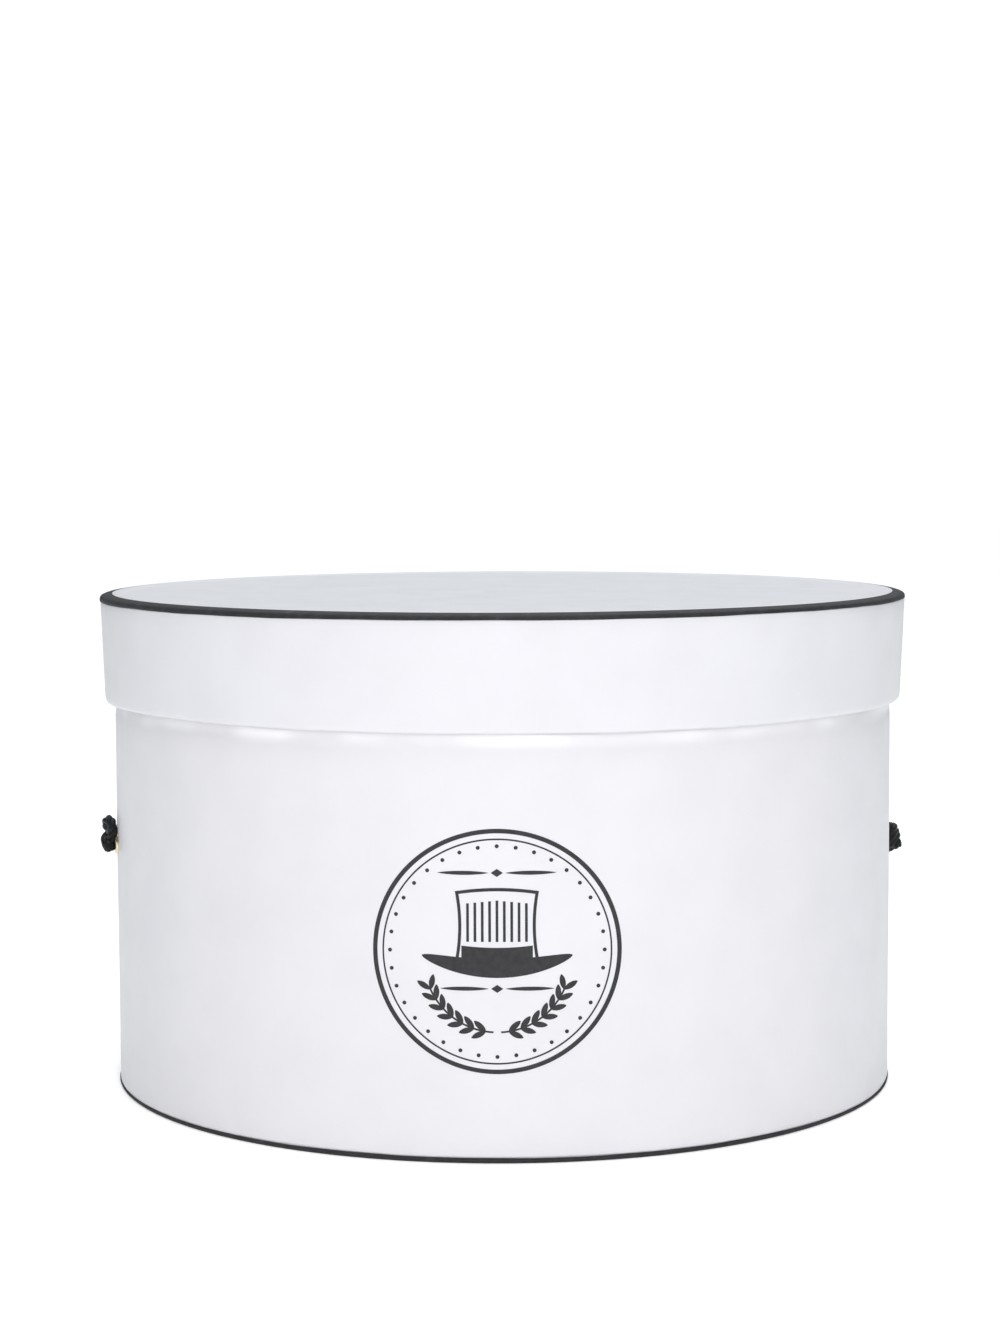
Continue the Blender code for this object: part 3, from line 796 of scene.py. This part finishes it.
# Cut across every three millimetres, so that the film can follow the wall's curve.
bmesh.ops.scale(mark, vec=MARK_SCALE, verts=mark.verts)
for step in range(-17, 18):
    bmesh.ops.bisect_plane(
        mark, geom=mark.verts[:] + mark.edges[:] + mark.faces[:],
        plane_co=(step * CUT_PITCH + FIRST_CUT, 0, 0), plane_no=(1, 0, 0))
bmesh.ops.recalc_face_normals(mark, faces=mark.faces[:])
for face in mark.faces:
    if face.normal.z < 0:
        face.normal_flip()
bmesh.ops.solidify(mark, geom=mark.faces[:], thickness=-DRAWN_FILM)
for vert in mark.verts:
    turn = math.radians(MARK_TURN) + vert.co.x / WALL_RADIUS
    height = MARK_HEIGHT + vert.co.y
    stand = INK_FILM if vert.co.z > DRAWN_FILM / 2 else -INK_FILM
    radius = WALL_RADIUS + hand_laid(math.atan2(math.sin(turn), math.cos(turn)), height) + stand
    vert.co = (radius * math.cos(turn), radius * math.sin(turn), height)
bmesh.ops.recalc_face_normals(mark, faces=mark.faces[:])
put_on(mark, "printed_mark", "box_body", printing_ink)


# ---- Lid disc, lid hoop and the tape on its joint ----
# The lid's top is a millboard disc glued into a shallow hoop of the same board. The hoop's
# butt joint is taped like the body's.
refinish("lid_board", greyboard)
refinish("lid_hoop_board", greyboard)
refinish("lid_joint_tape", gummed_kraft)


# ---- Lining papers of the lid ----
# A disc of plain lining under the top, and a band of it round the inside of the hoop, whose
# lower edge laps over the turned-in cover.
top_lining = paper_disc([(0.0, 226.2), (186.7, 226.2), (186.8, 226.3), (186.8, 226.7), (0.0, 226.7)])
put_on(top_lining, "lid_lining_paper", "lid", lining_paper, ["lid_lining"])

hoop_lining = spin_round([
    (185.05, 192.4), (185.15, 195.2), (185.38, 196.2), (186.45, 225.9), (186.95, 225.9),
    (185.92, 196.0), (185.38, 195.2), (185.28, 192.4)])
lay_by_hand(hoop_lining)
lay_lap(hoop_lining, turn=262.0, rise=LINING_RISE)
put_on(hoop_lining, "lid_hoop_lining_paper", "lid", lining_paper,
       ["lid_hoop_lining"])


# ---- Cover paper of the lid's hoop ----
# The same satin paper as the body's, in a band round the hoop and turned in under its rim, whose
# lower edge has painted shade: a darker grey band. The rim is never quite level, because the hoop
# was cut by hand.
RIM_FOOT, RIM_SWAY, RIM_SWAY_FADE = 0.180, 0.00028, 0.012
STEP_FOOT, STEP_TOP, STEP_RADIUS = 0.2260, 0.2275, 0.1890
LEG_SHORT = 0.00034
LEG_SHORTEST_TURN = 320
lid_paper, tree, shader = paper_finish(
    "satin lid paper", (0.662, 0.662, 0.690), (0.683, 0.684, 0.712), roughness=0.44,
    grain_depth=0.000012, specular=0.36)
# Painted shade: a dark grey, patchy band along the rim's lower edge, where the lid meets the wall.
paint_light_band(tree, shader, height=0.1798, reach=0.0014, shade=(0.47, 0.47, 0.49), roughness=0.5)


def leg_rise(turn):
    """How far the tape's leg down the side falls short of its full three millimetres."""
    return LEG_SHORT * (1 + math.cos(turn - math.radians(LEG_SHORTEST_TURN)))


hoop_cover = spin_round([
    (186.2, 180.0), (186.85, 180.12), (187.4, 180.5), (187.78, 181.15), (188.0, 182.0),
    (188.14, 183.2), (189.7, 226.2), (189.55, 226.7), (189.2, 227.1), (189.2, 228.3), (188.8, 228.3),
    (188.8, 226.9), (189.2, 226.0), (187.64, 183.2), (187.5, 182.1), (187.3, 181.35), (186.98, 180.85),
    (186.6, 180.56), (186.0, 180.5), (185.55, 180.75), (185.38, 181.6), (185.84, 195.0),
    (185.36, 195.0), (184.88, 181.6), (184.98, 180.7), (185.25, 180.2), (185.7, 180.0)])
for vert in hoop_cover.verts:
    turn = turn_of(vert.co)
    share = max(0.0, 1 - (vert.co.z - RIM_FOOT) / RIM_SWAY_FADE)
    vert.co.z += RIM_SWAY * share * wander(turn, (1.0, 3, 2.4), (0.7, 7, 0.2), (0.35, 16, 1.0))
    if STEP_FOOT < vert.co.z < STEP_TOP and radius_of(vert.co) > STEP_RADIUS:
        vert.co.z += leg_rise(turn)
lay_by_hand(hoop_cover)
lay_lap(hoop_cover, turn=102.0, rise=LAP_RISE)
put_on(hoop_cover, "lid_hoop_cover_paper", "lid", lid_paper, ["lid_hoop_cover"])


# ---- Binding round the lid's top ----
# The same black tape, folded over the softened top edge: six millimetres show on the top and
# three down the side. Its end is lapped over its start near the right front.
LEG_EDGE, LEG_SWAY = 0.2271, 0.00010
UNDER_THE_TOP_PAPER, PRESSED_HEIGHT = 0.1845, 0.22999
top_tape = spin_round([
    (179.4, 229.62), (179.4, 229.9), (179.6, 229.98), (186.0, 230.0), (187.4, 229.78),
    (188.6, 229.42), (189.4, 229.05), (189.85, 228.55), (190.0, 227.9), (190.0, 226.9),
    (189.93, 226.68), (189.75, 226.6), (189.5, 226.66), (189.44, 226.9), (189.4, 227.9),
    (189.0, 228.6), (188.3, 229.0), (187.2, 229.36), (186.0, 229.6)], longest=0.003)
for vert in top_tape.verts:
    if vert.co.z < LEG_EDGE:
        vert.co.z += LEG_SWAY * wander(turn_of(vert.co), *EDGE_SWAY)
for vert in top_tape.verts:
    if vert.co.z < LEG_EDGE:
        vert.co.z += leg_rise(turn_of(vert.co))
lay_lap(top_tape, turn=342.0, rise=0.00042, fade=4.0, lift=(0.7, 0.7))
for vert in top_tape.verts:
    if radius_of(vert.co) < UNDER_THE_TOP_PAPER:
        vert.co.z = min(vert.co.z, PRESSED_HEIGHT)
lay_uv(top_tape)
put_on(top_tape, "lid_binding_tape", "lid", binding_cloth, ["lid_binding"])


# ---- Cover paper of the lid's top ----
# A disc of the satin paper, pasted on last. It covers the tape's raw inner edge, which shows
# through as a faint ridge, and leaves six millimetres of the tape in sight.
RIDGE_FOOT = 0.176
UPPER_FACE = 0.22975
TOP_SWELL = 0.00006
top_cover = paper_disc([
    (0.0, 229.3), (176.6, 229.3), (178.4, 229.55), (179.2, 229.99), (184.15, 230.0),
    (184.2, 230.06), (184.2, 230.14), (184.1, 230.2), (180.2, 230.2), (179.2, 230.16),
    (178.2, 229.96), (177.2, 229.84), (175.8, 229.8), (0.0, 229.8)])
for vert in top_cover.verts:
    x, y, height = vert.co
    radius = radius_of(vert.co)
    if height > UPPER_FACE and radius < RIDGE_FOOT:
        swell = math.sin(38 * x + 21 * y + 0.6) + 0.7 * math.sin(64 * y - 27 * x + 2.0)
        vert.co.z += TOP_SWELL * swell * (1 - (radius / RIDGE_FOOT) ** 4)
put_on(top_cover, "lid_cover_paper", "lid", lid_paper, ["lid_cover"])


# ---- Floor, light and camera ----
# A plain pale table in a white room. A broad low lamp in front, a weaker one behind and a wide
# soft light overhead do the lighting, and a small high lamp in front gives the glints. The
# camera stands a little higher than the lid and looks slightly down.
AIM = (0.0, 0.0, 0.12)
CAMERA_PLACE = (0.0190, -1.3029, 0.2981)
CAMERA_TURN, CAMERA_TILT, CAMERA_ROLL = 0.888, 90 - 4.618, -0.213
table_finish, tree, shader = new_finish("pale table", 0.9)
ramp(tree, mottle(tree, 0.4, 2.0), [(0.3, grey(0.93)), (0.7, grey(0.95))], shader.inputs["Base Color"])
shader.inputs["Emission Color"].default_value = (1.0, 1.0, 1.0, 1.0)
shader.inputs["Emission Strength"].default_value = 0.18
shader.inputs["Specular IOR Level"].default_value = 0.0
bm = bmesh.new()
bmesh.ops.create_grid(bm, x_segments=8, y_segments=8, size=9.0)
mesh = bpy.data.meshes.new("table")
bm.to_mesh(mesh)
bm.free()
mesh.materials.append(table_finish)
table = bpy.data.objects.new("table", mesh)
bpy.context.scene.collection.objects.link(table)

world = bpy.data.worlds.new("white room")
bpy.context.scene.world = world
world.use_nodes = True
room = world.node_tree
seen = room.nodes.new("ShaderNodeLightPath")
mix = room.nodes.new("ShaderNodeMixShader")
lit = room.nodes["Background"]
lit.inputs["Color"].default_value = (0.86, 0.95, 1.0, 1.0)
lit.inputs["Strength"].default_value = 0.20
shown = room.nodes.new("ShaderNodeBackground")
shown.inputs["Color"].default_value = (1.0, 1.0, 1.0, 1.0)
shown.inputs["Strength"].default_value = 1.05
room.links.new(seen.outputs["Is Camera Ray"], mix.inputs["Fac"])
room.links.new(lit.outputs["Background"], mix.inputs[1])
room.links.new(shown.outputs["Background"], mix.inputs[2])
room.links.new(mix.outputs["Shader"], room.nodes["World Output"].inputs["Surface"])


def hang_lamp(name, place, aim, wide, tall, watts, colour, glints=True):
    """Hangs a square-cornered soft lamp. Without glints it lights, but isn't mirrored."""
    data = bpy.data.lights.new(name, "AREA")
    data.shape = "RECTANGLE"
    data.size = wide
    data.size_y = tall
    data.energy = watts
    data.color = colour
    lamp = bpy.data.objects.new(name, data)
    lamp.location = place
    lamp.rotation_euler = (Vector(aim) - Vector(place)).to_track_quat("-Z", "Y").to_euler()
    lamp.visible_glossy = glints
    bpy.context.scene.collection.objects.link(lamp)


hang_lamp("front lamp", (0.12, -2.6, 0.55), AIM, wide=1.3, tall=1.1, watts=30.0,
          colour=(1.0, 0.97, 0.975), glints=False)
hang_lamp("key lamp", (0.25, -2.1, 2.3), AIM, wide=0.7, tall=0.7, watts=9.5,
          colour=(1.0, 0.98, 0.97))
hang_lamp("back lamp", (0.2, 1.0, 1.3), (0.0, 0.0, 0.23), wide=1.4, tall=0.8, watts=6.0,
          colour=(0.90, 0.96, 1.0))

overhead_data = bpy.data.lights.new("overhead", "SUN")
overhead_data.energy = 2.25
overhead_data.angle = math.radians(70)
overhead = bpy.data.objects.new("overhead", overhead_data)
bpy.context.scene.collection.objects.link(overhead)

camera_data = bpy.data.cameras.new("camera")
camera_data.lens = 73.818
camera_data.sensor_width = 36.0
camera_data.clip_start = 0.05
camera = bpy.data.objects.new("camera", camera_data)
camera.matrix_world = (
    Matrix.Translation(CAMERA_PLACE)
    @ Matrix.Rotation(math.radians(CAMERA_TURN), 4, "Z")
    @ Matrix.Rotation(math.radians(CAMERA_TILT), 4, "X")
    @ Matrix.Rotation(math.radians(CAMERA_ROLL), 4, "Z"))
bpy.context.scene.collection.objects.link(camera)
bpy.context.scene.camera = camera
bpy.context.scene.view_settings.view_transform = "Standard"
